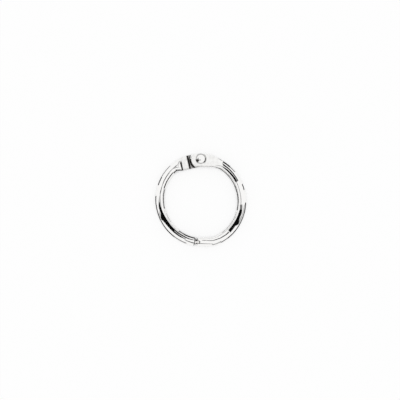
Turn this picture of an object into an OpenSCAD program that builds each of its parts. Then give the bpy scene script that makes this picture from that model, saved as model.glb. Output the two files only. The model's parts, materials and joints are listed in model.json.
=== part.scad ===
// Hinged loose-leaf binder ring of round plated steel wire.
// Two half rings turn on a rivet at the top (+Y) and snap together at the bottom.
// The ring lies flat: its middle plane is z = 0, its front faces +Z, and the
// origin is the middle of the closed ring.

/* [Ring] */
// Narrowest inside diameter of the closed ring
inner_d = 25.4; // [24:0.1:32]
// Diameter of the round wire
wire_d = 3; // [2.8:0.05:3.2]
// How far the middle of each half's arc lies past the ring's middle
bow = 0.6; // [0.2:0.05:0.8]
// Direction of that offset, from +X
bow_angle = 30; // [20:1:40]

/* [Pressed hinge ends] */
// Width of the left half's paddle at the rivet
left_paddle_w = 4.7; // [4.5:0.05:4.9]
// How much narrower the left half's paddle is at its end
left_taper_w = 0.8; // [0.4:0.1:1]
// Width of the right half's paddle at the rivet
right_paddle_w = 4.3; // [4:0.05:4.6]
// How far the rivet sits outwards from the middle of the paddles
pin_offset = 0.55; // [0.4:0.05:0.7]
// How far the rivet sits outwards from the ring's mean radius
pin_rise = 0.3; // [0.1:0.05:0.5]
// Depth of the pressed outer face below the wire's surface
facet_depth = 0.3; // [0.2:0.02:0.4]
// Depth of the pressed inner step below the wire's surface
step_depth = 0.4; // [0.3:0.02:0.5]
// Depth of the sharp die mark at the foot of the step's ramp
mark_depth = 0.16; // [0.1:0.02:0.24]
// Length of that die mark
mark_len = 0.2; // [0.1:0.05:0.3]
// Corner radius of the pressed section
press_corner = 0.5; // [0.35:0.05:0.65]
// Distance from the rivet at which the left half's ramps begin
left_press = 8.8; // [8.4:0.1:9.2]
// Distance from the rivet at which the left half's ramps end
left_foot = 7.3; // [6.9:0.1:7.6]
// Distance from the rivet at which the left half's wire begins to widen
left_flare = 10.3; // [9.9:0.1:10.6]
// Distance from the rivet at which the right half's ramps begin
right_press = 8; // [7.6:0.1:8.4]
// Distance from the rivet at which the right half's ramps end
right_foot = 5.2; // [5:0.1:5.6]
// Angle between the feet of the ramps and a true cross-section of the wire
foot_skew = 20; // [12:1:24]
// Lean of the lap's cuts, from square to the rivet's own tangent
lap_tilt = 13; // [8:0.5:16]
// Radius of a paddle's round end, about the rivet
tip_r = 3.7; // [3.5:0.05:3.8]
// Edge radius of that end
tip_edge = 0.3; // [0.15:0.05:0.5]
// Distance from the rivet to the shoulder across the lap
shoulder_d = 4.25; // [4.1:0.05:4.4]
// Edge radius of that shoulder
shoulder_edge = 0.25; // [0.1:0.05:0.4]
// Gap between the two paddles
lap_gap = 0.04; // [0.02:0.01:0.1]

/* [Rivet] */
// Diameter of the rivet's shank
shank_d = 1.9; // [1.6:0.05:2.1]
// Radial running clearance of the shank in the front paddle
pin_clear = 0.05; // [0.02:0.01:0.1]
// Diameter of the domed front head
head_d = 3.7; // [3.2:0.05:4]
// Height of the domed front head
head_h = 0.75; // [0.5:0.05:0.9]
// Height of the dome's upright rim
head_rim = 0.12; // [0.05:0.01:0.2]
// Axial clearance under the front head
head_clear = 0.03; // [0.02:0.01:0.06]
// Diameter of the peened back head
peen_d = 3.1; // [2.6:0.05:3.6]
// Height of the peened back head
peen_h = 0.32; // [0.2:0.02:0.5]

/* [Latch] */
// Direction of the seam from the ring's middle, from +X
latch_angle = 263; // [256:0.1:266]
// Gap between the two wire ends at the seam
seam_gap = 0.2; // [0.12:0.01:0.25]
// Length of the bevel on the left half's end
left_bevel = 0.3; // [0.2:0.05:0.5]
// Length of the bevel on the right half's end
right_bevel = 0.6; // [0.4:0.05:0.8]
// Radius of the flat that the bevel leaves on each wire end
land_r = 0.9; // [0.8:0.05:1.1]
// Width of the tongue's neck
neck_w = 0.6; // [0.4:0.05:0.7]
// Width of the tongue's round head
tongue_w = 0.95; // [0.8:0.05:1.1]
// How far the tongue reaches past the seam
tongue_len = 1.25; // [1.1:0.05:1.4]
// Depth of the tongue's top and bottom below the wire's surface
tongue_inset = 0.3; // [0.1:0.05:0.5]
// Clearance between the tongue and the sides of its slot
slot_clear = 0.07; // [0.05:0.01:0.12]
// Free space past the tongue's head in the slot
slot_end_gap = 0.28; // [0.15:0.01:0.5]
// Radius of the bend before the right half's straight end
bend_r = 5; // [4:0.1:7]

/* [Hidden] */
$fn = 96;
nickel = [0.80, 0.79, 0.76];

wire_r = wire_d / 2;
half_r = inner_d / 2 + wire_r + bow;              // radius of each half's arc
pin_y = inner_d / 2 + wire_r + pin_rise;          // the rivet stands on the Y axis
facet_z = wire_r - facet_depth;                   // level of the paddles' outer faces
step_z = wire_r - step_depth;                     // level of the inner steps
left_c = bow * [cos(bow_angle), sin(bow_angle)];  // middle of the left half's arc
right_c = -left_c;                                // middle of the right half's arc

run_out = 0.8;                                    // length over which the pressing fades out
seat = 0.015;                                     // how far the loft's root lies inside the wire
full_r = wire_r - seat;
weld = 0.005;                                     // how far each next stretch of wire lies inside the last
weld_len = 0.1;                                   // and how far it reaches into it

// The pressed end's loft.
section_points = 32;
coarse_step = 0.6;
tip_overrun = 1;

// The seam lies where the line from the ring's middle crosses the left half's arc.
seam_dir = [cos(latch_angle), sin(latch_angle)];
seam_along = seam_dir * left_c;
seam_r = seam_along + sqrt(seam_along ^ 2 - left_c * left_c + half_r ^ 2);
seam = seam_r * seam_dir;

over = 1;                                         // how far cutters run past what they cut

// How far s has come on the way from one distance to another, 0 to 1.
function share(s, from, to) = max(0, min(1, (from - s) / (from - to)));
function smooth(t) = t * t * (3 - 2 * t);
function ease_out(t) = 1 - (1 - t) ^ 1.5;
function angle_about(c, p) = atan2(p.y - c.y, p.x - c.x);
function polar(c, r, a) = [c.x + r * cos(a), c.y + r * sin(a)];
function arc_degrees(s) = s / half_r * 180 / PI;
function flip(c) = [-c.x, c.y];                   // the same point seen from behind
function side(x) = x < 0 ? -1 : 1;

// Stations of the loft, as distances from the rivet, from the round wire at
// start down past the paddle's end: one at every crease.
function stations(start, press, foot) = concat(
    [start + run_out / 2],
    [for (i = [0 : 3]) start + (press - start) * i / 4],
    [for (i = [0 : 4]) press + (foot + mark_len - press) * i / 4],
    [for (s = [foot : -coarse_step : -tip_r - tip_overrun]) s]);

// Angle on a left-hand arc round c of the point at distance s from the rivet.
function arc_angle(c, s) = angle_about(c, [0, pin_y]) + arc_degrees(s);
// How far the paddle's middle lies inside the arc.
function paddle_depth(c) = half_r - norm([0, pin_y - pin_offset] - c);

// Plan of each pressed end: rows of distance from the rivet, half width, and
// how far the section's middle has moved inwards off the arc.
left_plan = [for (s = stations(left_flare, left_press, left_foot))
    [s, full_r + (left_paddle_w / 2 - full_r) * ease_out(share(s, left_flare, shoulder_d))
            - left_taper_w / 2 * smooth(share(s, shoulder_d, -tip_r)),
        paddle_depth(left_c) * ease_out(share(s, left_flare, 2))]];
right_plan = [for (s = stations(right_press + run_out, right_press, right_foot))
    [s, full_r + (right_paddle_w / 2 - full_r) * smooth(share(s, right_press, 1.5)),
        paddle_depth(flip(right_c)) * smooth(share(s, 0.69 * right_press, 0))]];

// One section of the pressed end: a circle that turns into a rounded rectangle.
// The sections lean towards square with the rivet's tangent at the ramp's foot.
function section(c, row, start, press, foot) =
    let (s = row[0],
         top = full_r - lookup(s, [[foot, full_r - step_z],
             [foot + mark_len, full_r - step_z - mark_depth], [press, 0]]),
         bottom = lookup(s, [[foot, full_r - facet_z], [press, 0]]) - full_r,
         skew = lookup(s, [[0, 0], [shoulder_d, 0.3 * foot_skew], [foot, foot_skew], [start, 0]]),
         h = (top - bottom) / 2,
         w = max(h, row[1]) / cos(skew),
         q = min(h, lookup(s, [[foot, press_corner], [press, full_r]])),
         a = arc_angle(c, s),
         mid = polar(c, half_r - row[2], a))
    [for (j = [0 : section_points - 1])
        let (b = (j + 0.5) * 360 / section_points,
             across = (w - q) * side(cos(b)) + q * cos(b),
             up = (h - q) * side(sin(b)) + q * sin(b) / cos(180 / section_points),
             p = polar(mid, across, a - skew))
        [p.x, p.y, (top + bottom) / 2 + up]];

// Solid through closed sections of m points each.
module loft(sections) {
    m = len(sections[0]);
    n = len(sections);
    polyhedron(
        points = [for (ring = sections) each ring],
        faces = concat(
            [[for (j = [0 : m - 1]) j]],
            [for (i = [0 : n - 2], j = [0 : m - 1])
                [i * m + j, (i + 1) * m + j, (i + 1) * m + (j + 1) % m, i * m + (j + 1) % m]],
            [[for (j = [m - 1 : -1 : 0]) (n - 1) * m + j]]));
}

// The wire's round stretch along an arc, from angle a0 up to angle a1.
module wire_arc(c, r, a0, a1, inset = 0) {
    translate([c.x, c.y, 0]) rotate([0, 0, a0])
        rotate_extrude(angle = a1 - a0) translate([r, 0]) circle(r = wire_r - inset);
}

// The wire's last straight stretch, from p in direction dir, with its bevelled end.
module wire_tail(p, dir, length, bevel, inset) {
    translate([p.x, p.y, 0]) rotate([0, 0, dir]) rotate([0, 90, 0]) {
        translate([0, 0, -weld_len]) cylinder(r = wire_r - inset, h = weld_len + length);
        translate([0, 0, length]) cylinder(r1 = wire_r - inset, r2 = land_r, h = bevel);
    }
}

// A square edge's waste, for rounding it to radius r: the edge is at the
// origin and the solid lies below and to the right of it.
module edge_waste(r) {
    difference() {
        translate([-over, -r]) square([r + over, r + over]);
        translate([r, -r]) circle(r = r);
    }
}

// All in front of a paddle whose wire runs off to +X, up to the shoulder.
module lap_waste() {
    reach = tip_r + tip_overrun + over;
    rotate([90, 0, 0]) translate([0, 0, -2 * wire_d]) linear_extrude(4 * wire_d) {
        translate([-reach, -lap_gap / 2]) square([reach + shoulder_d, wire_d]);
        translate([shoulder_d, step_z]) edge_waste(shoulder_edge);
    }
}

// All past the round end of a paddle whose wire runs off to +X.
module tip_waste() {
    reach = tip_r + tip_overrun + over;
    difference() {
        translate([-reach, -2 * wire_d, -wire_d]) cube([reach, 4 * wire_d, 2 * wire_d]);
        translate([0, 0, -2 * wire_d]) cylinder(r = tip_r, h = 4 * wire_d);
    }
    rotate([0, 0, 90]) rotate_extrude(angle = 180)
        translate([tip_r, -facet_z]) rotate(180) edge_waste(tip_edge);
}

// The pressed end of a half whose wire runs off to the left (-X), with its
// paddle behind the middle plane.
module pressed_end(c, plan, start, press, foot, bore_r) {
    difference() {
        loft([for (row = plan) section(c, row, start, press, foot)]);
        translate([0, pin_y, 0]) {
            rotate([0, 0, 180 + lap_tilt]) lap_waste();
            rotate([0, 0, 180]) tip_waste();
            translate([0, 0, -wire_d]) cylinder(r = bore_r, h = 2 * wire_d);
        }
    }
}

// Outline of the latch tongue past the seam, grown by clear on its sides and
// by end_gap at its head.
module tongue_outline(clear, end_gap, root) {
    head_r = tongue_w / 2;
    translate([-root, -neck_w / 2 - clear]) square([root + tongue_len - head_r, neck_w + 2 * clear]);
    translate([tongue_len - head_r, 0]) circle(r = head_r + clear);
    if (end_gap > 0) {
        translate([tongue_len - head_r, -head_r - clear]) square([end_gap, tongue_w + 2 * clear]);
        translate([tongue_len - head_r + end_gap, 0]) circle(r = head_r + clear);
    }
}

// Tongue on the left half: cut from the wire's own round section.
module tongue() {
    root = left_bevel + 2 * seam_gap;
    translate([seam.x, seam.y, 0]) intersection() {
        translate([0, 0, -wire_r]) linear_extrude(wire_d) tongue_outline(0, 0, root);
        translate([-root, 0, 0]) rotate([0, 90, 0])
            cylinder(r = wire_r - tongue_inset, h = root + tongue_len);
    }
}

module left_half_ring() {
    // The wire meets the seam at a slant, so its end stands back by that slant.
    a_seam = 360 + angle_about(left_c, seam);
    slant = land_r * tan(abs(270 - a_seam));
    a_end = a_seam - arc_degrees(left_bevel + slant + seam_gap / 2);
    color(nickel) {
        pressed_end(left_c, left_plan, left_flare, left_press, left_foot, shank_d / 2);
        wire_arc(left_c, half_r, arc_angle(left_c, left_flare), a_end);
        wire_tail(polar(left_c, half_r, a_end), a_end + 90, 0, left_bevel, weld);
        tongue();
    }
}

module right_half_ring() {
    // The straight end is level with the seam, which fixes where the bend begins.
    a_bend = 360 - asin((right_c.y - bend_r - seam.y) / (half_r - bend_r));
    bend_c = polar(right_c, half_r - bend_r, a_bend);
    tail_len = bend_c.x - seam.x - seam_gap / 2 - right_bevel;
    c = flip(right_c);
    start = right_press + run_out;
    color(nickel) {
        rotate([0, 180, 0])
            pressed_end(c, right_plan, start, right_press, right_foot, shank_d / 2 + pin_clear);
        difference() {
            union() {
                wire_arc(right_c, half_r, a_bend - 360, 180 - arc_angle(c, start));
                wire_arc(bend_c, bend_r, 270, a_bend + weld_len / bend_r * 180 / PI, weld);
                wire_tail([bend_c.x, seam.y], 180, tail_len, right_bevel, 2 * weld);
            }
            translate([seam.x, seam.y, -wire_d]) linear_extrude(2 * wire_d)
                tongue_outline(slot_clear, slot_end_gap, over);
        }
    }
}

module hinge_rivet() {
    dome_h = head_h - head_rim;
    dome_r = ((head_d / 2) ^ 2 + dome_h ^ 2) / (2 * dome_h);
    peen_r = ((peen_d / 2) ^ 2 + peen_h ^ 2) / (2 * peen_h);
    head_z = facet_z + head_clear;
    color(nickel) translate([0, pin_y, 0]) rotate_extrude() {
        translate([0, -facet_z]) square([shank_d / 2, facet_z + head_z]);
        translate([0, head_z]) square([head_d / 2, head_rim]);
        intersection() {
            translate([0, head_z + head_h - dome_r]) circle(r = dome_r);
            translate([0, head_z + head_rim]) square([head_d / 2, dome_h]);
        }
        intersection() {
            translate([0, peen_r - facet_z - peen_h]) circle(r = peen_r);
            translate([0, -facet_z - peen_h]) square([peen_d / 2, peen_h]);
        }
    }
}

left_half_ring();
right_half_ring();
hinge_rivet();
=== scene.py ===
import json
import math
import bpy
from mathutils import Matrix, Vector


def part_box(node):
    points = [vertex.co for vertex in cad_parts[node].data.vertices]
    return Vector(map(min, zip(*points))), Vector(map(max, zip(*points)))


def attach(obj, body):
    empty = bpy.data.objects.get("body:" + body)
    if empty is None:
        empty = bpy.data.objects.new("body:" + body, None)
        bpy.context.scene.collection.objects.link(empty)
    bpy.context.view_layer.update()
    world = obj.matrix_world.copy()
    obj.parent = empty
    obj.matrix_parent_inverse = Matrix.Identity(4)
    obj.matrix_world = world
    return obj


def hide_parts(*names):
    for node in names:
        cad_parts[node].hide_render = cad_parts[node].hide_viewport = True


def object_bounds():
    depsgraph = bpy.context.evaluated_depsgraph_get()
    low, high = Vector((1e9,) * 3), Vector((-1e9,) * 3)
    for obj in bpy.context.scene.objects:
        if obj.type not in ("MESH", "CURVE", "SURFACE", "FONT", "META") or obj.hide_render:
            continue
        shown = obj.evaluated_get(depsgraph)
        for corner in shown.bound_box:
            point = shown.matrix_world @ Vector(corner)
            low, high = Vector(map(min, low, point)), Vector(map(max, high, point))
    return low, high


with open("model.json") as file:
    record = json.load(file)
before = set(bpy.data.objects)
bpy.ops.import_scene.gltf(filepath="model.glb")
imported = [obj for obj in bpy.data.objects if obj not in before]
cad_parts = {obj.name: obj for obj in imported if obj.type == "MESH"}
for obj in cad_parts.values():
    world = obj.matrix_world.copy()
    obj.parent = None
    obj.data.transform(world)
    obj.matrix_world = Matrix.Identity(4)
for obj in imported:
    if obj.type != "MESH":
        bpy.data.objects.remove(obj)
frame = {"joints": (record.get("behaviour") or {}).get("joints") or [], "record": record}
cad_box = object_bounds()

from types import SimpleNamespace

import bmesh
import bpy
import numpy as np
from mathutils import Matrix, Vector

# A hinged binder ring of nickel-plated steel wire, lying flat with its front up.
# The two half rings and the rivet are built again here, in the same sizes as
# their solids, with finer sections and rounded edges, so that they reflect
# cleanly. Everything is in millimetres until a mesh is finished.
MM = 0.001

# ---- Sizes ----


def from_record(kind, name):
    """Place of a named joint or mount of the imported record, in millimetres."""
    rows = frame["joints"] if kind == "joint" else frame["record"]["mounts"]
    return np.array(next(row["pos_m"] for row in rows if row["name"] == name)) / MM


WIRE_R = round(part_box("left_half_ring")[1].z / MM, 3)
PIN = from_record("joint", "ring_hinge")[:2]
BOW = 0.6                      # how far the middle of each half's arc lies past the ring's middle
BOW_ANGLE = math.radians(30)
LEFT_C = BOW * np.array([math.cos(BOW_ANGLE), math.sin(BOW_ANGLE)])
RIGHT_C = -LEFT_C
HALF_R = LEFT_C[0] - from_record("mount", "left_wire")[0]

PIN_OFFSET = 0.55              # from the middle of the paddles out to the rivet
FACET_Z = 1.2                  # level of the paddles' pressed outer faces
STEP_Z = 1.1                   # level of the pressed inner steps
MARK_DEPTH = 0.16              # the sharp die mark at the foot of a step's ramp
MARK_LEN = 0.2
MARK_SOFT = 0.06               # over which the corners of a step's ramp are rounded
RAMP_SOFT = 0.3                # over which the other corners along a pressed end are rounded
PRESS_CORNER = 0.5
FOOT_SKEW = 20                 # degrees
SHOULDER_SKEW = 0.3 * FOOT_SKEW
LAP_TILT = 13                  # degrees
LAP_GAP = 0.04
LAP_CORNER = 0.1               # between the lap's floor and its shoulder
SHOULDER = 4.25                # from the rivet to the shoulder across the lap
SHOULDER_EDGE = 0.25
TIP_R = 3.7                    # of a paddle's round end, about the rivet
TIP_EDGE = 0.3
SHANK_R = 0.95
PIN_CLEAR = 0.05
HEAD_R = 1.848                 # a hair inside its solid
HEAD_H = 0.75
HEAD_RIM = 0.12
HEAD_CLEAR = 0.03
HEAD_EDGE = 0.04
PEEN_R = 1.55
PEEN_H = 0.32

LATCH_ANGLE = math.radians(263)
SEAM_GAP = 0.2
LAND_R = 0.9                   # of the flat that the bevel leaves on a wire's end
BEVEL_SOFT = 0.25              # radius of the edge where the bevel begins
LAND_SOFT = 0.08               # radius of the edge where it ends
NECK_W = 0.6
TONGUE_W = 0.95
TONGUE_LEN = 1.25
TONGUE_INSET = 0.3
SLOT_CLEAR = 0.07
SLOT_END_GAP = 0.28
BEND_R = 5

# Each pressed end: where the wire begins to widen and where its ramps begin
# and end, as distances from the rivet, and the length of the bevel at the latch.
LEFT = {"flare": 10.3, "press": 8.8, "foot": 7.3, "bevel": 0.3}
RIGHT = {"flare": 8.8, "press": 8.0, "foot": 5.2, "bevel": 0.6}
LEFT_PADDLE_W = 4.7
LEFT_TAPER_W = 0.8
LEFT_INWARD_END = 2            # from the rivet to where the paddle's middle is all the way in
RIGHT_PADDLE_W = 4.3
RIGHT_WIDE_END = 1.5           # from the rivet to where the paddle has its full width
RIGHT_INWARD_START = 0.69 * RIGHT["press"]

# How finely the pieces are made.
AROUND = 96                    # points round the wire
PRESSED_STEP = 0.15            # between stations along a pressed end
WIRE_STEP = 0.4                # between stations along the plain wire
CORNER_EXTRA = 1               # added to a corner's length as points are dealt out, so that it gets more
EDGE_STEPS = 8                 # across a rounded edge
BEVEL_ROWS = EDGE_STEPS + 5    # of a wire's end that are its bevel
LAND_ROWS = EDGE_STEPS // 2    # of a wire's end that are the rim of its flat
BEND_STEPS = 9                 # along the right half's bend
TIP_STEPS = 72                 # round a paddle's end
DOME_POINTS = 24               # from a dome's edge to near its top
ARC_STEP = 7.5                 # degrees between the points of a drawn arc
CARD_STEP = 3                  # degrees, at the most, between the points of a card

# The planes in which the cutting tools are drawn: their x, y and normal.
LEVEL = ((1, 0, 0), (0, 1, 0), (0, 0, 1))
UPRIGHT = ((1, 0, 0), (0, 0, 1), (0, 1, 0))
ACROSS = ((0, 1, 0), (0, 0, 1), (1, 0, 0))


# ---- Curves ----


def share(s, start, end):
    """How far s has come on the way from start down to end, 0 to 1."""
    return np.clip((start - s) / (start - end), 0, 1)


def smooth(t):
    return t * t * (3 - 2 * t)


def ease_out(t):
    return 1 - (1 - t) ** 1.5


def along(s, rows, soft=0.0):
    """Value at s on straight stretches between rows of (place, value), with corners rounded over soft."""
    places, values = np.array(sorted(rows)).T
    steps = np.linspace(-soft, soft, 9)
    return np.interp(s[:, None] + steps, places, values).mean(axis=1)


def polar(centre, radius, degrees):
    turn = np.radians(degrees)
    return centre + np.stack([radius * np.cos(turn), radius * np.sin(turn)], axis=-1)


def degrees_about(centre, point):
    return math.degrees(math.atan2(point[1] - centre[1], point[0] - centre[0]))


def arc_degrees(s):
    return np.degrees(s / HALF_R)


def arc(centre, radius, start, end):
    """Points of an arc between two angles in degrees."""
    count = int(abs(end - start) / ARC_STEP) + 2
    return polar(np.array(centre), radius, np.linspace(start, end, count))


def rounded(corners):
    """Outline through corners of (x, y, radius), each rounded to its radius."""
    points = []
    for i, (x, y, radius) in enumerate(corners):
        here = np.array([x, y], float)
        if radius == 0:
            points.append(here)
            continue
        back = corners[i - 1][:2] - here
        ahead = corners[(i + 1) % len(corners)][:2] - here
        back, ahead = back / np.linalg.norm(back), ahead / np.linalg.norm(ahead)
        half = math.acos(back @ ahead) / 2
        centre = here + (back + ahead) / np.linalg.norm(back + ahead) * radius / math.sin(half)
        first = here + back * radius / math.tan(half)
        last = here + ahead * radius / math.tan(half)
        start = degrees_about(centre, first)
        turn = (degrees_about(centre, last) - start + 180) % 360 - 180
        points += list(polar(centre, radius, start + np.linspace(0, turn, EDGE_STEPS + 1)))
    return np.array(points)


# ---- Meshes ----


def new_object(name, points, faces):
    mesh = bpy.data.meshes.new(name)
    mesh.from_pydata(np.asarray(points, float).tolist(), [], faces)
    body = bmesh.new()
    body.from_mesh(mesh)
    bmesh.ops.recalc_face_normals(body, faces=body.faces)
    body.to_mesh(mesh)
    body.free()
    made = bpy.data.objects.new(name, mesh)
    bpy.context.scene.collection.objects.link(made)
    return made


def skin(name, rings):
    """Solid through rings of equally many points, closed flat at both ends."""
    count, size = len(rings), len(rings[0])
    faces = [tuple(range(size)), tuple(range((count - 1) * size, count * size))]
    for a in range(0, (count - 1) * size, size):
        b = a + size
        faces += [(a + j, b + j, b + (j + 1) % size, a + (j + 1) % size) for j in range(size)]
    return new_object(name, np.concatenate(rings), faces)


def prism(name, outline, plane, depth):
    """The outline, drawn in a plane and pushed depth both ways."""
    x, y, normal = np.array(plane, float)
    flat = outline[:, :1] * x + outline[:, 1:] * y
    return skin(name, [flat - depth * normal, flat + depth * normal])


def placed(tool, turn, at):
    """The tool turned about Z by degrees, and then moved."""
    tool.data.transform(Matrix.Translation((*at, 0)) @ Matrix.Rotation(math.radians(turn), 4, "Z"))
    return tool


def combine(piece, tool, operation, finish=None):
    """Cuts the tool from the piece or joins it on, and takes the tool away. The faces that come of it
    have the tool's own material, or without one the finish, or without that the piece's."""
    if not tool.data.materials:
        tool.data.materials.append(bpy.data.materials[finish] if finish else piece.data.materials[0])
    modifier = piece.modifiers.new("combine", "BOOLEAN")
    modifier.object = tool
    modifier.operation = operation
    modifier.solver = "EXACT"
    modifier.material_mode = "TRANSFER"
    graph = bpy.context.evaluated_depsgraph_get()
    made = bpy.data.meshes.new_from_object(piece.evaluated_get(graph))
    piece.modifiers.clear()
    piece.data = made
    bpy.data.objects.remove(tool)


def settle(piece, body, node):
    """Brings a piece to metres, smooths it between its sharp edges and puts it in its node's place."""
    piece.data.transform(Matrix.Scale(MM, 4))
    piece.data.shade_smooth()
    piece.data.set_sharp_from_angle(angle=math.radians(35))
    piece.modifiers.new("flat_faces", "WEIGHTED_NORMAL").keep_sharp = True
    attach(piece, body)
    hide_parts(node)


# ---- The half rings ----


def section(half_w, top, bottom, corner):
    """Points (across, up) round rounded rectangles, one row for each station."""
    half_h = (top - bottom) / 2
    corner = np.minimum(corner, half_h)
    upright, flat = half_h - corner, half_w - corner
    bend = corner * math.pi / 2 + CORNER_EXTRA
    step = (np.arange(AROUND // 4) + 0.5) / (AROUND // 4)
    way = step * (upright + bend + flat)[:, None]
    turn = np.clip((way - upright[:, None]) / bend[:, None], 0, 1) * math.pi / 2
    past_bend = np.clip(way - (upright + bend)[:, None], 0, None)
    across = flat[:, None] + corner[:, None] * np.cos(turn) - past_bend
    up = np.minimum(way, upright[:, None]) + corner[:, None] * np.sin(turn)
    across = np.hstack([across, -across[:, ::-1], -across, across[:, ::-1]])
    up = np.hstack([up, up[:, ::-1], -up, -up[:, ::-1]])
    return across, up + (top + bottom)[:, None] / 2


def left_plan(s):
    """Half width of the left half's pressed end, and how far its middle has moved inwards off the arc."""
    width = WIRE_R + (LEFT_PADDLE_W / 2 - WIRE_R) * ease_out(share(s, LEFT["flare"], SHOULDER))
    width -= LEFT_TAPER_W / 2 * smooth(share(s, SHOULDER, -TIP_R))
    return width, paddle_depth(LEFT_C) * ease_out(share(s, LEFT["flare"], LEFT_INWARD_END))


def right_plan(s):
    """The same for the right half."""
    width = WIRE_R + (RIGHT_PADDLE_W / 2 - WIRE_R) * smooth(share(s, RIGHT["press"], RIGHT_WIDE_END))
    return width, paddle_depth(mirrored(RIGHT_C)) * smooth(share(s, RIGHT_INWARD_START, 0))


def mirrored(point):
    """The same point of the plan, seen from behind."""
    return np.array([-point[0], point[1]])


def paddle_depth(centre):
    """How far the paddle's middle lies inside the arc."""
    return HALF_R - np.linalg.norm(PIN - (0, PIN_OFFSET) - centre)


def pressed_sections(s, half_w, sizes):
    """Sections of the wire at s, round until the press and flat from the foot, and skews in degrees."""
    press, foot = sizes["press"], sizes["foot"]
    ramp = [(foot, STEP_Z), (foot + MARK_LEN, STEP_Z - MARK_DEPTH), (press, WIRE_R)]
    top = along(s, ramp, MARK_SOFT)
    bottom = along(s, [(foot, -FACET_Z), (press, -WIRE_R)], RAMP_SOFT)
    corner = along(s, [(foot, PRESS_CORNER), (press, WIRE_R)])
    lean = [(0, 0), (SHOULDER, SHOULDER_SKEW), (foot, FOOT_SKEW), (sizes["flare"], 0)]
    skew = along(s, lean, RAMP_SOFT)
    half_w = np.maximum((top - bottom) / 2, half_w) / np.cos(np.radians(skew))
    return (*section(half_w, top, bottom, corner), skew)


def lay_out(piece, s, across):
    """Maps the swept wire: its distance from the rivet, and its place across from -1, inside, to 1."""
    side = across / across.max(axis=1, keepdims=True)
    grid = np.stack([np.broadcast_to(s[:, None], across.shape), side], axis=-1)
    corners = np.empty(len(piece.data.loops), int)
    piece.data.loops.foreach_get("vertex_index", corners)
    piece.data.uv_layers.new(name="wire_map").data.foreach_set("uv", grid.reshape(-1, 2)[corners].ravel())


def wire(name, finish, centre, plan, sizes, arc_end, tail):
    """A half's swept wire, with its paddle behind the middle plane and its wire running off to the left.
    arc_end is where the tail takes over, and the tail is its stations' middles, turns and radii."""
    first = degrees_about(centre, PIN)
    wire_len = math.radians(arc_end - first) * HALF_R
    flare = sizes["flare"]
    plain = np.linspace(flare, wire_len - WIRE_STEP, int((wire_len - flare) / WIRE_STEP))
    s = np.concatenate([np.arange(-TIP_R - 1, flare, PRESSED_STEP), plain])
    half_w, inward = plan(s)
    across, up, skew = pressed_sections(s, half_w, sizes)
    angle = first + arc_degrees(s)
    middles, turns, radii = tail
    tail_across, tail_up = section(radii, radii, -radii, radii)
    s = np.concatenate([s, wire_len + np.linalg.norm(middles - middles[0], axis=1)])
    middles = np.vstack([polar(centre, HALF_R - inward, angle), middles])
    turns = np.radians(np.concatenate([angle - skew, turns]))[:, None]
    across, up = np.vstack([across, tail_across]), np.vstack([up, tail_up])
    x, y = middles[:, :1] + across * np.cos(turns), middles[:, 1:] + across * np.sin(turns)
    piece = skin(name, list(np.stack([x, y, up], axis=-1)))
    lay_out(piece, s, across)
    piece.data.materials.append(finish)
    return piece


def darken_end(piece, rows):
    """Gives the wire's cut end, and the last rows of faces before it, a near-black finish: the steel's
    own darker end, and partly painted shade in the seam.
    """
    piece.data.materials.append(bpy.data.materials["sheared_and_shaded"])
    faces = list(piece.data.polygons)
    for face in [faces[1]] + faces[len(faces) - rows * AROUND:]:
        face.material_index = 1


def straight_tail(start, turn, length, bevel):
    """Stations of a straight wire end with a bevel: their middles, turns and radii."""
    end = length + bevel
    profile = rounded([(-1, WIRE_R, 0), (length, WIRE_R, BEVEL_SOFT), (end, LAND_R, LAND_SOFT),
                       (end, 0, 0), (-1, 0, 0)])[1:-2]
    plain = np.arange(0, length - WIRE_STEP, WIRE_STEP)
    way = np.concatenate([plain, profile[:, 0]])
    radii = np.concatenate([np.full(len(plain), WIRE_R), profile[:, 1]])
    return polar(start, way, np.full(len(way), turn + 90)), np.full(len(way), turn), radii


def lap_tool():
    """All in front of a paddle whose wire runs off to +X, up to the shoulder."""
    reach = TIP_R + 2
    level = -LAP_GAP / 2
    floor = rounded([(-reach, level, 0), (SHOULDER, level, LAP_CORNER), (SHOULDER, STEP_Z, 0)])[:-1]
    edge = arc((SHOULDER + SHOULDER_EDGE, STEP_Z - SHOULDER_EDGE), SHOULDER_EDGE, 180, 90)
    sky = [(SHOULDER + SHOULDER_EDGE, 2 * WIRE_R), (-reach, 2 * WIRE_R)]
    return prism("lap_tool", np.vstack([floor, edge, sky]), UPRIGHT, 4 * WIRE_R)


def tip_tool():
    """All past the round end of a paddle whose wire runs off to +X."""
    reach, height, inset = 2 * TIP_R, 2 * WIRE_R, TIP_R - TIP_EDGE
    edge = arc((inset, TIP_EDGE - FACET_Z), TIP_EDGE, 270, 360)
    rest = [(TIP_R, height), (reach, height), (reach, -height), (inset, -height)]
    profile = np.vstack([edge, rest])
    turns = np.linspace(90, 270, TIP_STEPS + 1)
    return skin("tip_tool", [np.column_stack([polar((0, 0), profile[:, 0], np.full(len(profile), turn)),
                                              profile[:, 1]]) for turn in turns])


def cut_paddle(piece, bore_r):
    combine(piece, placed(lap_tool(), 180 + LAP_TILT, PIN), "DIFFERENCE", "dulled_and_shaded")
    combine(piece, placed(tip_tool(), 180, PIN), "DIFFERENCE")
    bore = prism("bore_tool", arc((0, 0), bore_r, 0, 360 - ARC_STEP), LEVEL, 2 * WIRE_R)
    combine(piece, placed(bore, 0, PIN), "DIFFERENCE", "dulled_and_shaded")


# ---- The latch ----


def seam_point():
    """Where the line from the ring's middle at the latch's angle crosses the left half's arc."""
    direction = np.array([math.cos(LATCH_ANGLE), math.sin(LATCH_ANGLE)])
    past = direction @ LEFT_C
    return (past + math.sqrt(past ** 2 - LEFT_C @ LEFT_C + HALF_R ** 2)) * direction


SEAM = seam_point()


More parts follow.
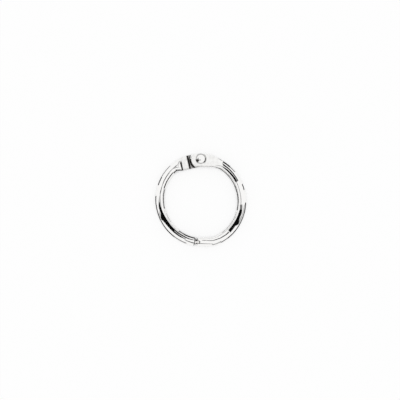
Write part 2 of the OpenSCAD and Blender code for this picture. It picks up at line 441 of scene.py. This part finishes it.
def tongue_outline(clear, end_gap, root):
    """Outline of the tongue past the seam, grown by clear on its sides and by end_gap at its head."""
    radius, neck = TONGUE_W / 2 + clear, NECK_W / 2 + clear
    middle = TONGUE_LEN - TONGUE_W / 2
    lean = math.degrees(math.asin(neck / radius))
    upper = arc((middle, 0), radius, 180 - lean, 90)
    head = arc((middle + end_gap, 0), radius, 90, -90)
    lower = arc((middle, 0), radius, 270, 180 + lean)
    return np.vstack([[(-root, neck)], upper[:-1], head, lower[1:], [(-root, -neck)]])


def tongue():
    """The tongue, cut from the wire's own round section."""
    root = LEFT["bevel"] + 2 * SEAM_GAP
    piece = prism("tongue", tongue_outline(0, 0, root), LEVEL, WIRE_R)
    piece.data.materials.append(bpy.data.materials["rubbed"])
    circle = arc((0, 0), WIRE_R - TONGUE_INSET, 0, 360 - ARC_STEP / 2)
    combine(piece, prism("round_stock", circle, ACROSS, 4), "INTERSECT")
    return placed(piece, 0, SEAM)


def left_half_ring():
    seam_angle = 360 + degrees_about(LEFT_C, SEAM)
    slant = LAND_R * math.tan(math.radians(abs(270 - seam_angle)))
    end = seam_angle - arc_degrees(LEFT["bevel"] + slant + SEAM_GAP / 2)
    tail = straight_tail(polar(LEFT_C, HALF_R, end), end, 0, LEFT["bevel"])
    finish = drawn_nickel("left_nickel", LEFT, left_painted_shade)
    piece = wire("left_wire", finish, LEFT_C, left_plan, LEFT, end, tail)
    darken_end(piece, BEVEL_ROWS)
    cut_paddle(piece, SHANK_R)
    combine(piece, tongue(), "UNION")
    settle(piece, "left_leaf", "left_half_ring")


def right_half_ring():
    """The right half, swept as seen from behind and then turned round."""
    centre, seam = mirrored(RIGHT_C), mirrored(SEAM)
    bend = 180 + math.degrees(math.asin((centre[1] - BEND_R - seam[1]) / (HALF_R - BEND_R)))
    bend_c = polar(centre, HALF_R - BEND_R, bend)
    angles = np.linspace(bend, 270, BEND_STEPS + 1)[:-1]
    length = seam[0] - bend_c[0] - SEAM_GAP / 2 - RIGHT["bevel"]
    middles, turns, radii = straight_tail(bend_c - (0, BEND_R), 270, length, RIGHT["bevel"])
    tail = (np.vstack([polar(bend_c, BEND_R, angles), middles]), np.concatenate([angles, turns]),
            np.concatenate([np.full(len(angles), WIRE_R), radii]))
    finish = drawn_nickel("right_nickel", RIGHT, right_painted_shade)
    piece = wire("right_wire", finish, centre, right_plan, RIGHT, bend, tail)
    darken_end(piece, LAND_ROWS)
    cut_paddle(piece, SHANK_R + PIN_CLEAR)
    piece.data.transform(Matrix.Rotation(math.pi, 4, "Y"))
    slot = prism("slot_tool", tongue_outline(SLOT_CLEAR, SLOT_END_GAP, 1), LEVEL, 2 * WIRE_R)
    combine(piece, placed(slot, 0, SEAM), "DIFFERENCE", "dulled_and_shaded")
    settle(piece, "right_leaf", "right_half_ring")


# ---- The rivet ----


def dome(radius, height, level, way):
    """Points from the edge of a dome, at a level, to near its top."""
    ball = (radius ** 2 + height ** 2) / (2 * height)
    lean = np.linspace(math.asin(radius / ball), 0.02, DOME_POINTS)
    return np.stack([ball * np.sin(lean), level + way * (height - ball + ball * np.cos(lean))], axis=-1)


def hinge_rivet():
    head_z = FACET_Z + HEAD_CLEAR
    profile = np.vstack([
        dome(PEEN_R, PEEN_H, -FACET_Z, -1)[::-1],
        [(SHANK_R, -FACET_Z), (SHANK_R, head_z)],
        [(HEAD_R - HEAD_EDGE, head_z), (HEAD_R, head_z + HEAD_EDGE)],
        dome(HEAD_R, HEAD_H - HEAD_RIM, head_z + HEAD_RIM, 1)])
    angles = np.linspace(0, 360, AROUND, endpoint=False)
    rings = [np.column_stack([polar(PIN, r, angles), np.full(AROUND, z)]) for r, z in profile]
    piece = skin("rivet", rings)
    piece.data.materials.append(rivet_nickel())
    settle(piece, "left_leaf", "hinge_rivet")


# ---- Materials ----


def node(tree, kind, inputs=None, **settings):
    """A new node with its settings. An input is a socket to link or a value to set."""
    made = tree.nodes.new("ShaderNode" + kind)
    for name, value in settings.items():
        setattr(made, name, value)
    for name, value in (inputs or {}).items():
        if isinstance(value, bpy.types.NodeSocket):
            tree.links.new(value, made.inputs[name])
        else:
            made.inputs[name].default_value = value
    return made


def maths(tree, operation, first, second=0.0):
    return node(tree, "Math", {0: first, 1: second}, operation=operation).outputs[0]


def from_to(tree, value, start, end, low=0.0, high=1.0):
    """Low before start, high after end, and a smooth passage between."""
    inputs = {"Value": value, "From Min": start, "From Max": end, "To Min": low, "To Max": high}
    return node(tree, "MapRange", inputs, interpolation_type="SMOOTHSTEP").outputs[0]


def blend_colour(tree, amount, first, second):
    mix = node(tree, "Mix", data_type="RGBA")
    for socket, value in zip((mix.inputs[0], mix.inputs[6], mix.inputs[7]), (amount, first, second)):
        if isinstance(value, bpy.types.NodeSocket):
            tree.links.new(value, socket)
        else:
            socket.default_value = value
    return mix.outputs[2]


def noise(tree, place, scale, detail):
    return node(tree, "TexNoise", {"Vector": place, "Scale": scale, "Detail": detail}).outputs["Fac"]


def bump(tree, height, depth, below=None):
    """Normal of a surface with the height's relief, depth millimetres deep, on top of another."""
    inputs = {"Height": height, "Distance": depth * MM, "Strength": 1.0}
    if below:
        inputs["Normal"] = below
    return node(tree, "Bump", inputs).outputs["Normal"]


def new_material(name):
    material = bpy.data.materials.new(name)
    material.use_nodes = True
    material.node_tree.nodes.clear()
    return material, material.node_tree


def metal(tree, colour, roughness, normal):
    """A metal surface."""
    shader = node(tree, "BsdfPrincipled", {"Base Color": colour, "Roughness": roughness, "Normal": normal,
                                           "Metallic": 1.0})
    node(tree, "OutputMaterial", {"Surface": shader.outputs["BSDF"]})


def millimetres(tree):
    """Place on the piece in millimetres from the rivet's axis."""
    here = node(tree, "TexCoord").outputs["Object"]
    scaled = node(tree, "VectorMath", {0: here, "Scale": 1 / MM}, operation="SCALE").outputs[0]
    return node(tree, "VectorMath", {0: scaled, 1: (*PIN, 0)}, operation="SUBTRACT").outputs[0]


def from_axis(tree, place):
    """X, y, z and the distance from the rivet's axis of a place."""
    x, y, z = node(tree, "SeparateXYZ", {0: place}).outputs
    squares = [maths(tree, "MULTIPLY", side, side) for side in (x, y)]
    return x, y, z, maths(tree, "SQRT", maths(tree, "ADD", *squares))


def times(tree, *factors):
    """The product of the factors."""
    product = factors[0]
    for factor in factors[1:]:
        product = maths(tree, "MULTIPLY", product, factor)
    return product


def most(tree, *shares):
    """The highest of the shares."""
    highest = shares[0]
    for other in shares[1:]:
        highest = maths(tree, "MAXIMUM", highest, other)
    return highest


def crevice_shade(tree, reach):
    """1 deep in the piece's own corners, up to reach millimetres from their walls, and 0 in the open:
    where shade is painted into the corners.
    """
    seen = node(tree, "AmbientOcclusion", {"Distance": reach * MM}, samples=8, only_local=True)
    return from_to(tree, seen.outputs["AO"], 0.4, 0.85, 1.0, 0.0)


def line_mask(tree, value, place, half_width):
    """1 along the line where the value is at its place, and 0 beyond its half width."""
    off = maths(tree, "ABSOLUTE", maths(tree, "SUBTRACT", value, place))
    return from_to(tree, off, half_width / 2, half_width, 1.0, 0.0)


NICKEL = (0.93, 0.925, 0.915, 1)
NICKEL_DULL = (0.84, 0.835, 0.825, 1)
NICKEL_DARK_EDGE = (0.56, 0.55, 0.54, 1)
# Near black: painted shade in the seam, the groove, the die mark, the corners and round the rivet's head,
# and a painted dark reflection on the head.
PAINTED_SHADE = (0.03, 0.028, 0.025, 1)
PAINTED_SHADE_W = 0.42                 # half width of a wide line of painted shade
AT_LATCH = (-20, -18)          # from the rivet down to where the latch's own painted shade begins


def shoulder_shade(tree, x, y):
    """1 along the left half's shoulder, and 0 away from it: where shade is painted in the groove."""
    lean = math.radians(180 + LAP_TILT)
    lap = maths(tree, "ADD", times(tree, x, math.cos(lean)), times(tree, y, math.sin(lean)))
    return line_mask(tree, lap, SHOULDER + 0.12, PAINTED_SHADE_W)


def left_painted_shade(tree, at):
    """Painted shade on the left half: in the die mark, and along the shoulder."""
    in_front = from_to(tree, at.z, 0.3, 0.7)
    mark = times(tree, line_mask(tree, at.s, LEFT["foot"] + MARK_LEN / 2, PAINTED_SHADE_W), in_front,
                 from_to(tree, at.across, 0.2, 0.7, 1.0, 0.0))
    return most(tree, mark, times(tree, shoulder_shade(tree, at.x, at.y), in_front))


def right_painted_shade(tree, at):
    """Painted shade on the right half: along the inner part of its round end."""
    inner_part = line_mask(tree, at.turn, math.radians(-158), math.radians(46))
    in_front = from_to(tree, at.z, 0.3, 0.7)
    return times(tree, line_mask(tree, at.reach, TIP_R, 0.5), inner_part, in_front)


def drawn_out(tree, s, side, up, share_along):
    """Places on the wire, drawn out along it, so that a noise on them runs lengthwise."""
    return node(tree, "CombineXYZ", {0: times(tree, s, share_along), 1: side, 2: up}).outputs[0]


def drawn_nickel(name, sizes, own_shade):
    """Bright nickel on drawn wire, satin where its end is pressed flat. It has faint draw lines, a
    darker inner edge on the paddle, and painted shade in the seam, in its corners and where own_shade
    says, with a painted shadow of the rivet's head on its upper right."""
    material, tree = new_material(name)
    place = millimetres(tree)
    x, y, z, reach = from_axis(tree, place)
    wire_map = node(tree, "UVMap", uv_map="wire_map").outputs[0]
    s, across = node(tree, "SeparateXYZ", {0: wire_map}).outputs[:2]
    turn = maths(tree, "ARCTAN2", y, x)
    at = SimpleNamespace(x=x, y=y, z=z, reach=reach, turn=turn, s=s, across=across)
    pressed = from_to(tree, s, sizes["foot"], sizes["press"], 1.0, 0.0)
    side = times(tree, across, WIRE_R)
    lines = noise(tree, drawn_out(tree, s, side, z, 0.06), 7, 3)
    waves = noise(tree, drawn_out(tree, s, side, z, 0.5), 0.5, 1)
    grain = noise(tree, place, 5, 3)
    clouds = noise(tree, place, 1.1, 3)
    # Painted shadow of the rivet's head on the paddle, on its upper right side only.
    upper_right = from_to(tree, maths(tree, "ADD", x, y), -1, 1, 0.0, 0.6)
    ring = times(tree, line_mask(tree, reach, HEAD_R + 0.04, 0.12), upper_right)
    # Painted shade along the seam at the latch.
    seam_line = line_mask(tree, x, SEAM[0] - PIN[0] - 0.15, PAINTED_SHADE_W)
    seam = times(tree, seam_line, from_to(tree, y, *AT_LATCH, 0.95, 0.0))
    painted_shade = most(tree, ring, seam, own_shade(tree, at), crevice_shade(tree, 0.3))
    # Darker along the paddle's inner edge, in clouds.
    inner_edge = from_to(tree, across, -0.97, -0.8, 1, 0)
    rubbed = times(tree, inner_edge, pressed, from_to(tree, clouds, 0.3, 0.5, 0.5, 1))
    dull = times(tree, from_to(tree, clouds, 0.3, 0.7), pressed)
    colour = blend_colour(tree, dull, NICKEL, NICKEL_DULL)
    colour = blend_colour(tree, rubbed, colour, NICKEL_DARK_EDGE)
    colour = blend_colour(tree, painted_shade, colour, PAINTED_SHADE)
    roughness = from_to(tree, clouds, 0.3, 0.7, 0.04, 0.08)
    for dulling in (times(tree, pressed, 0.08), times(tree, painted_shade, 0.3)):
        roughness = maths(tree, "ADD", roughness, dulling)
    drawn = from_to(tree, pressed, 0, 1, 1.0, 0.15)
    normal = bump(tree, times(tree, waves, drawn), 0.03)
    normal = bump(tree, times(tree, lines, drawn), 0.003, normal)
    normal = bump(tree, times(tree, grain, pressed), 0.004, normal)
    metal(tree, colour, roughness, normal)
    return material


def dulled_nickel(name, light, dark):
    """Thin, dull plating, stained between a light and a dark grey, with painted shade in its corners,
    along the shoulder and along the groove by the paddle's round end.
    """
    material, tree = new_material(name)
    place = millimetres(tree)
    stains = noise(tree, place, 1.7, 4)
    rub = noise(tree, place, 9, 2)
    x, y, _, reach = from_axis(tree, place)
    # Painted shade along the groove by the paddle's round end, stopping short of the latch.
    groove = times(tree, line_mask(tree, reach, TIP_R + 0.05, 0.35), from_to(tree, y, *AT_LATCH))
    greys = [(1.02 * grey, grey, 0.98 * grey, 1) for grey in (light, dark)]
    colour = blend_colour(tree, from_to(tree, stains, 0.35, 0.65), *greys)
    painted_shade = most(tree, groove, shoulder_shade(tree, x, y), crevice_shade(tree, 0.5))
    colour = blend_colour(tree, painted_shade, colour, PAINTED_SHADE)
    roughness = from_to(tree, stains, 0.3, 0.7, 0.22, 0.4)
    metal(tree, colour, roughness, bump(tree, rub, 0.006))
    return material


def rivet_nickel():
    """Nickel on a pressed rivet head, with faint turned rings and a few scuffs. Painted on it are a
    shadow along its rim's upper right, a dark circle of shade inside its rim, a dark reflection at its
    lower left and shade in its corners."""
    material, tree = new_material("rivet_nickel")
    place = millimetres(tree)
    x, y, _, reach = from_axis(tree, place)
    turn = maths(tree, "ARCTAN2", y, x)
    turned = node(tree, "CombineXYZ", {0: reach, 1: times(tree, turn, 0.15)}).outputs[0]
    rings = noise(tree, turned, 9, 2)
    scuffs = noise(tree, place, 2.2, 3)
    # Painted shadow along the upper right of the head's rim.
    upper_right = from_to(tree, maths(tree, "ADD", x, y), -1, 1, 0, 0.6)
    rim = times(tree, line_mask(tree, reach, HEAD_R, 0.1), upper_right)
    colour = blend_colour(tree, from_to(tree, scuffs, 0.5, 0.75), NICKEL, NICKEL_DULL)
    # A painted dark reflection at the head's lower left.
    lower_left = line_mask(tree, turn, math.radians(-153), math.radians(30))
    dark_reflection = times(tree, line_mask(tree, reach, 0.72 * HEAD_R, 0.75), lower_left)
    # A painted dark circle of shade inside the rim.
    circle = times(tree, line_mask(tree, reach, 0.85 * HEAD_R, 0.2), 0.6)
    painted_shade = most(tree, rim, circle, dark_reflection, crevice_shade(tree, 0.3))
    colour = blend_colour(tree, painted_shade, colour, PAINTED_SHADE)
    roughness = from_to(tree, scuffs, 0.4, 0.7, 0.06, 0.14)
    metal(tree, colour, roughness, bump(tree, scuffs, 0.004, bump(tree, rings, 0.003)))
    return material


# ---- The studio ----

VIEW_WIDTH = 138.8             # of the picture at the ring's middle plane
LENS = 150
AIM = (-0.28, 0.24)            # of the camera, on the middle plane
FLOOR_SIZE = 4000


def add_camera():
    data = bpy.data.cameras.new("camera")
    data.lens = LENS
    camera = bpy.data.objects.new("camera", data)
    bpy.context.scene.collection.objects.link(camera)
    distance = VIEW_WIDTH * LENS / data.sensor_width
    camera.location = Vector((*AIM, distance)) * MM
    data.clip_end = 10
    bpy.context.scene.camera = camera


def glow(name, grey):
    material, tree = new_material(name)
    light = node(tree, "Emission", {"Color": (grey, grey, grey, 1)})
    node(tree, "OutputMaterial", {"Surface": light.outputs["Emission"]})
    return material


def floor_material():
    """A matt white floor. Seen by the camera or in the metal it is plain white, but for a trace of its
    shadows and, close beside the wire and in the seam, its own matt shade."""
    material, tree = new_material("floor_white")
    matt = node(tree, "BsdfDiffuse", {"Color": (0.93, 0.93, 0.93, 1)})
    white = node(tree, "Emission")
    path = node(tree, "LightPath").outputs
    seen = most(tree, path["Is Camera Ray"], path["Is Glossy Ray"])
    open_air = node(tree, "AmbientOcclusion", {"Distance": 2.5 * MM}, samples=8).outputs["AO"]
    lit = from_to(tree, open_air, 0.35, 0.65, 0.0, 0.85)
    share_white = times(tree, seen, lit)
    mix = node(tree, "MixShader", {"Fac": share_white, 1: matt.outputs[0], 2: white.outputs[0]})
    node(tree, "OutputMaterial", {"Surface": mix.outputs[0]})
    return material


def stage_sheet(name, points, faces, material):
    sheet = new_object(name, np.array(points, float) * MM, faces)
    sheet.data.materials.append(material)
    return sheet


def add_floor():
    half, z = FLOOR_SIZE / 2, cad_box[0].z / MM
    corners = [(-half, -half, z), (half, -half, z), (half, half, z), (-half, half, z)]
    stage_sheet("floor", corners, [(0, 1, 2, 3)], floor_material())


def reflected_only(sheet):
    sheet.visible_camera = False
    sheet.visible_diffuse = False
    sheet.visible_shadow = False
    sheet.visible_transmission = False


def at_level(points, z):
    return np.column_stack([points, np.full(len(points), z)])


def card(name, first, second, grey):
    """A card between two rows of points. Only reflections show it."""
    points = np.stack([first, second], axis=1).reshape(-1, 3)
    faces = [(2 * i, 2 * i + 1, 2 * i + 3, 2 * i + 2) for i in range(len(first) - 1)]
    reflected_only(stage_sheet(name, points, faces, glow(name, grey)))


def flag_edge(centre, angles, places, z):
    """Where a flag's edge hangs, so that the wire shows it at the places, given as shares of the wire's
    radius, when it is seen from straight above."""
    lean = np.arcsin(places)
    out = WIRE_R * places + (z - WIRE_R * np.cos(lean)) * np.tan(2 * lean)
    return at_level(polar(centre, HALF_R + out, angles), z)


def flag(name, centre, grey, rows, z):
    """A dark flag hung over the wire. Its rows are the angle, and where the wire shows its two edges."""
    angles, inner, outer = np.array(rows, float).T
    card(name, flag_edge(centre, angles, inner, z), flag_edge(centre, angles, outer, z), grey)


def card_angles(start, end):
    return np.linspace(start, end, int(abs(end - start) / CARD_STEP) + 2)


def floor_card(name, start, end, inner, outer, grey):
    """A dark card on the floor, between two angles and two radii."""
    angles, z = card_angles(start, end), cad_box[0].z / MM + 0.02
    edges = [at_level(polar(np.zeros(2), radius, angles), z) for radius in (inner, outer)]
    card(name, *edges, grey)


def standing_card(name, start, end, radius, low, high, grey):
    """A dark strip that stands on edge beside the wire, between two angles and two levels."""
    foot = polar(np.zeros(2), radius, card_angles(start, end))
    card(name, at_level(foot, low), at_level(foot, high), grey)


def add_world():
    world = bpy.data.worlds.new("studio")
    bpy.context.scene.world = world
    world.use_nodes = True
    sky = world.node_tree.nodes["Background"]
    sky.inputs["Color"].default_value = (1, 1, 1, 1)
    sky.inputs["Strength"].default_value = 1


# The nickel shows what stands round it. The cards below are dark or grey things of the studio, placed so
# that the metal reflects them where the photograph's metal is dark. They were set one by one,
# against how bright the photograph's wire is from place to place, and they fit the closed ring seen from
# straight above. None of them is part of the ring.
FLAG_Z, HAZE_Z = 6, 7
CAMERA_CARD_AT = np.array([-10, 0])
CAMERA_CARD_R = 7.5
CAMERA_CARD_Z = 56
BLACK, DARK, GREY, PALE = 0.004, 0.1, 0.2, 0.5

# Each flag: its arc's middle, its grey, and its rows, which are those that flag() takes. They give the
# wire the dark bands that the photograph has in its upper right, its lower left and its lower right.
FLAGS = {
    "upper_right_inner": (RIGHT_C, BLACK, [
        (28, -0.4, 0.12), (38, -0.38, 0.07), (48, -0.34, 0.02), (57, -0.28, -0.09)]),
    "upper_right_outer": (RIGHT_C, BLACK, [
        (28, 0.16, 0.36), (38, 0.16, 0.4), (45, 0.17, 0.44), (58, 0.1, 0.46)]),
    "lower_left": (LEFT_C, BLACK, [
        (183, 0.0, 0.14), (188, -0.1, 0.33), (198, -0.34, 0.27), (202, -0.42, 0.48), (205, -0.47, 0.64),
        (208, -0.5, 0.44), (212, -0.54, 0.29), (220, -0.56, 0.19), (228, -0.56, 0.16)]),
    "lower_left_inner": (LEFT_C, BLACK, [
        (228, -0.56, -0.27), (238, -0.56, -0.27), (250, -0.48, -0.24), (260, -0.41, -0.31)]),
    "lower_left_outer": (LEFT_C, BLACK, [(228, -0.2, 0.17), (238, -0.17, 0.13), (247, -0.08, 0.03)]),
    "lower_right_lead": (RIGHT_C, BLACK, [
        (276, -0.42, -0.35), (284, -0.46, -0.35), (290, -0.4, -0.24), (300, -0.22, -0.05),
        (308, -0.14, 0.05), (314, -0.1, 0.1)]),
    "lower_right": (RIGHT_C, BLACK, [
        (315, -0.5, 0.27), (326, -0.52, 0.2), (329, -0.5, 0.5), (330, -0.5, 0.62), (333, -0.48, 0.44),
        (336, -0.45, 0.23), (344, -0.42, 0.28), (349, -0.36, 0.25)]),
    "lower_right_end": (RIGHT_C, GREY, [(349, -0.36, 0.25), (356, -0.45, 0.1)]),
}

# Each flag that is hung above those, most of them paler. They give the wire its soft or narrow lines.
HAZES = {
    "right": (RIGHT_C, PALE, [(-3, -0.34, -0.16), (12, -0.33, -0.16), (24, -0.28, -0.1)]),
    "upper_left": (LEFT_C, DARK, [
        (122, 0.02, 0.1), (140, 0.0, 0.12), (155, -0.04, 0.07), (170, -0.17, -0.08)]),
    "left": (LEFT_C, PALE, [(172, -0.16, 0.0), (183, -0.28, 0.28), (192, -0.3, 0.38)]),
    "lower_left": (LEFT_C, PALE, [(195, 0.42, 0.55), (199, 0.4, 0.66), (204, 0.55, 0.66)]),
    "lower_right": (RIGHT_C, PALE, [
        (331, 0.5, 0.66), (336, 0.2, 0.66), (341, 0.42, 0.65), (356, 0.48, 0.66)]),
    "before_latch": (LEFT_C, DARK, [(246, 0.14, 0.26), (254, 0.18, 0.38), (262, 0.2, 0.44)]),
    "past_latch": (RIGHT_C, DARK, [
        (264, 0.22, 0.38), (272, 0.27, 0.42), (278, 0.32, 0.45), (285, 0.44, 0.54)]),
}

# Each card on the floor: its two angles, its two radii and its grey. They show low on the wire's
# sides, as the lines near its outline.
FLOOR_CARDS = {
    "outside_right": (14, 22, 17.2, 50, 0.02),
    "outside_upper_right": (40, 51, 18.5, 40, 0.02),
    "outside_hinge": (61, 66, 16.6, 20, 0.05),
    "outside_left": (174, 186, 15.7, 26, 0.02),
    "outside_lower_left": (186, 234, 17.0, 60, 0.02),
    "outside_bottom_left": (234, 251, 18.0, 60, 0.2),
    "outside_bottom_right": (296, 306, 18.8, 60, 0.08),
    "outside_lower_right": (306, 344, 17.6, 60, 0.02),
    "outside_lower_right_end": (344, 358, 17.2, 120, 0.02),
    "inside_upper_right": (24, 65, 5, 11.7, 0.02),
    "inside_left": (161, 176, 0, 11.2, 0.02),
    "inside_lower_left": (176, 192, 6, 12.2, 0.02),
    "inside_left_trace": (200, 216, 11.0, 12.6, 0.1),
    "inside_right_trace": (303, 342, 11.0, 12.6, 0.1),
}

# Each standing card: its two angles, its radius, its two levels and its grey. They give the lines
# next to the outline.
STANDING_CARDS = {
    "inside_right_start": (-15, -4, 12.3, -1.5, 0.6, 0.01),
    "inside_right": (-4, 24, 12.2, -1.5, 0.7, 0.02),
    "inside_ramp": (121, 134, 11.7, -1.5, 1.05, 0.01),
    "inside_upper_left": (134, 161, 11, 0.6, 2.5, 0.02),
    "inside_bottom_left_start": (234, 243, 12, -1.5, 0.6, 0.01),
    "inside_bottom_left": (243, 262, 12, -1.5, 1.1, 0.004),
    "outside_ramp": (49, 60, 16.6, -1.5, 1.3, 0.01),
    "outside_upper_left": (131, 149, 16.4, -1.5, 0.4, 0.01),
    "outside_mark": (149, 160, 16.4, -1.5, 0.8, 0.01),
    "outside_bottom": (284, 297, 17.2, 0.8, 2.0, 0.4),
}


def add_groove_flags():
    """Two strips over the groove between the paddles: along its shoulder and the front paddle's end."""
    lean = np.radians(180 + LAP_TILT)
    way = np.array([math.cos(lean), math.sin(lean)])
    side = np.array([-math.sin(lean), math.cos(lean)])
    ends = np.array([[-2.6], [2.6]]) * side
    edges = [at_level(PIN + place * way + ends, FLAG_Z) for place in (SHOULDER - 0.4, SHOULDER + 0.1)]
    card("groove_shoulder", *edges, BLACK)
    angles = np.linspace(150, 235, 16)
    edges = [at_level(polar(PIN, r, angles), FLAG_Z) for r in (TIP_R - 0.2, TIP_R + 0.2)]
    card("groove_end", *edges, BLACK)


def add_camera_card():
    """A dark disc high over the left of the ring, as of a camera. It shows as a thin grey line along
    the top of the wire, and hangs clear of what the flat hinge ends reflect."""
    angles = np.linspace(0, 360, 49)
    edges = [at_level(polar(CAMERA_CARD_AT, r, angles), CAMERA_CARD_Z) for r in (0.1, CAMERA_CARD_R)]
    card("camera_card", *edges, 0.03)


def add_cards():
    for name, (centre, grey, rows) in FLAGS.items():
        flag("flag_" + name, centre, grey, rows, FLAG_Z)
    for name, (centre, grey, rows) in HAZES.items():
        flag("haze_" + name, centre, grey, rows, HAZE_Z)
    for name, sizes in FLOOR_CARDS.items():
        floor_card("card_" + name, *sizes)
    for name, sizes in STANDING_CARDS.items():
        standing_card("standing_" + name, *sizes)
    add_groove_flags()
    add_camera_card()


# ---- Everything ----

dulled_nickel("dulled_and_shaded", 0.61, 0.44)     # the cut and sawn faces: the lap, the bores and the slot, in duller plating whose darker grey is also painted shade for the recesses
dulled_nickel("rubbed", 0.92, 0.8)      # the tongue
dulled_nickel("sheared_and_shaded", 0.06, 0.03)    # the wires' ends: the near black of cut steel, which also stands in as painted shade in the seam
left_half_ring()
right_half_ring()
hinge_rivet()
add_camera()
add_world()
add_floor()
add_cards()
bpy.context.scene.view_settings.view_transform = "Standard"
